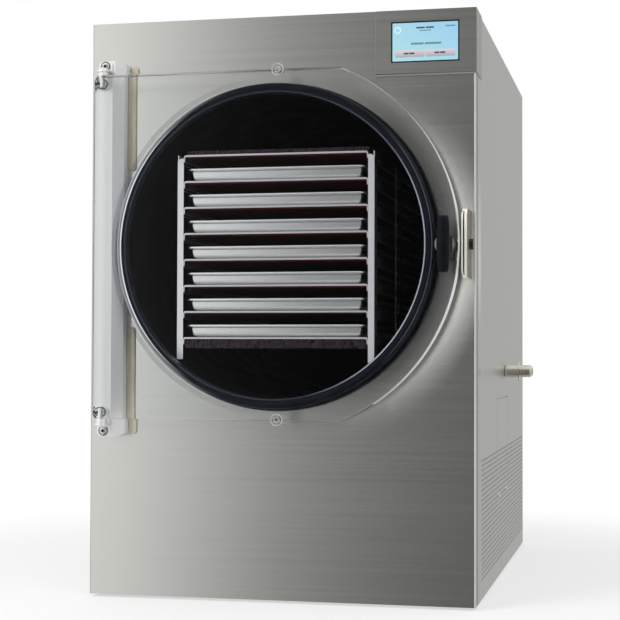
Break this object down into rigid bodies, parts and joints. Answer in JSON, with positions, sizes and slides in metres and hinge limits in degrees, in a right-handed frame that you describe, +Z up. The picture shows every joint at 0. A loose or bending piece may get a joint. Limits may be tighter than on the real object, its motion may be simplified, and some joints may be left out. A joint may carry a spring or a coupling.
{
  "type": "freeze dryer",
  "caption": "Cabinet freeze dryer with a round vacuum chamber behind a clear swing door, a rack of removable trays, a touch screen and a vented machine bay below.",
  "frame": {"origin": "middle of the object's box in plan, on the floor under the feet", "axes": "+X to the right as seen from the front, +Y from the door to the back panel, +Z up"},
  "size_m": [0.623, 0.8298, 0.798],
  "materials": {
    "brushed_cabinet": "horizontally brushed stainless steel",
    "galvanised": "dull galvanised sheet",
    "dark_brushed": "fine vertical brushing",
    "chamber_steel": "rolled stainless steel",
    "channel_steel": "satin stainless steel",
    "bright_steel": "polished steel",
    "dark_bolt": "blackened steel",
    "rack_steel": "satin stainless steel",
    "shelf_sheet": "satin sheet",
    "tray_steel": "pressed stainless steel",
    "silicone": "matte silicone mat",
    "black_rubber": "satin black rubber",
    "clear_acrylic": "clear and polished",
    "black_grip": "glossy black",
    "screen_face": "glossy display face",
    "black_plastic": "moulded black plastic",
    "black_paint": "black enamel",
    "copper": "drawn copper tube",
    "condenser_metal": "pressed fins",
    "fan_metal": "pressed blades",
    "shaft_steel": "ground steel",
    "foam": "skinned foam",
    "board": "green circuit board",
    "nickel": "nickelled brass",
    "drain_tube": "milky flexible tube",
    "red_lever": "red enamel"
  },
  "bodies": {
    "cabinet": {"front_panel": "brushed_cabinet", "left_side_panel": "brushed_cabinet", "right_side_panel": "brushed_cabinet", "service_cover": "brushed_cabinet", "top_cover": "brushed_cabinet", "base_pan": "galvanised", "rear_panel": "galvanised", "chamber_cradles": "galvanised", "control_panel": "dark_brushed", "vacuum_chamber": "chamber_steel", "hinge_channel": "channel_steel", "strike": "channel_steel", "hinge_brackets": "bright_steel", "hinge_pins": "bright_steel", "hinge_spacers": "bright_steel", "hinge_screws": "bright_steel", "cabinet_screws": "bright_steel", "strike_bolt": "dark_bolt", "rack_left_side": "rack_steel", "rack_right_side": "rack_steel", "shelves": "shelf_sheet", "tray_1": "tray_steel", "tray_2": "tray_steel", "tray_3": "tray_steel", "tray_4": "tray_steel", "tray_5": "tray_steel", "tray_6": "tray_steel", "tray_7": "tray_steel", "heater_mats": "silicone", "door_gasket": "black_rubber", "feet": "black_rubber", "compressor_mounts": "black_rubber", "touch_screen": "screen_face", "screen_module": "black_plastic", "fan_shroud": "black_plastic", "power_inlet": "black_plastic", "switch_housing": "black_plastic", "pump_outlet": "black_plastic", "compressor": "black_paint", "fan_motor": "black_paint", "evaporator_coil": "copper", "refrigerant_lines": "copper", "filter_drier": "copper", "condenser": "condenser_metal", "vacuum_line": "shaft_steel", "foam_jacket": "foam", "control_board": "board", "vacuum_fitting": "nickel", "drain_valve": "nickel", "drain_line": "drain_tube"},
    "door": {"door": "clear_acrylic", "door_bumpers": "clear_acrylic"},
    "latch": {"latch_grip": "black_grip", "latch_shaft": "bright_steel", "latch_cam": "bright_steel", "latch_nut": "bright_steel"},
    "fan": {"fan_shaft": "shaft_steel", "fan_rotor": "fan_metal"},
    "drain_lever": {"drain_lever": "red_lever"},
    "rocker": {"switch_rocker": "black_plastic"}
  },
  "joints": [
    {"name": "door_swing", "type": "hinge", "parent": "cabinet", "child": "door", "pos_m": [-0.2335, -0.37912, 0.4815], "axis": [0, 0, -1], "range_deg": [0, 150]},
    {"name": "latch_turn", "type": "hinge", "parent": "door", "child": "latch", "pos_m": [0.236, -0.37912, 0.479], "axis": [0, -1, 0], "range_deg": [0, 90]},
    {"name": "fan_spin", "type": "hinge", "parent": "cabinet", "child": "fan", "pos_m": [0.178, -0.04813, 0.107], "axis": [1, 0, 0], "continuous": true},
    {"name": "drain_lever_turn", "type": "hinge", "parent": "cabinet", "child": "drain_lever", "pos_m": [-0.2855, -0.02813, 0.2315], "axis": [0, 0, 1], "range_deg": [0, 90]},
    {"name": "switch_rock", "type": "hinge", "parent": "cabinet", "child": "rocker", "pos_m": [0.205, 0.40587, 0.094], "axis": [-1, 0, 0], "range_deg": [0, 22]}
  ]
}
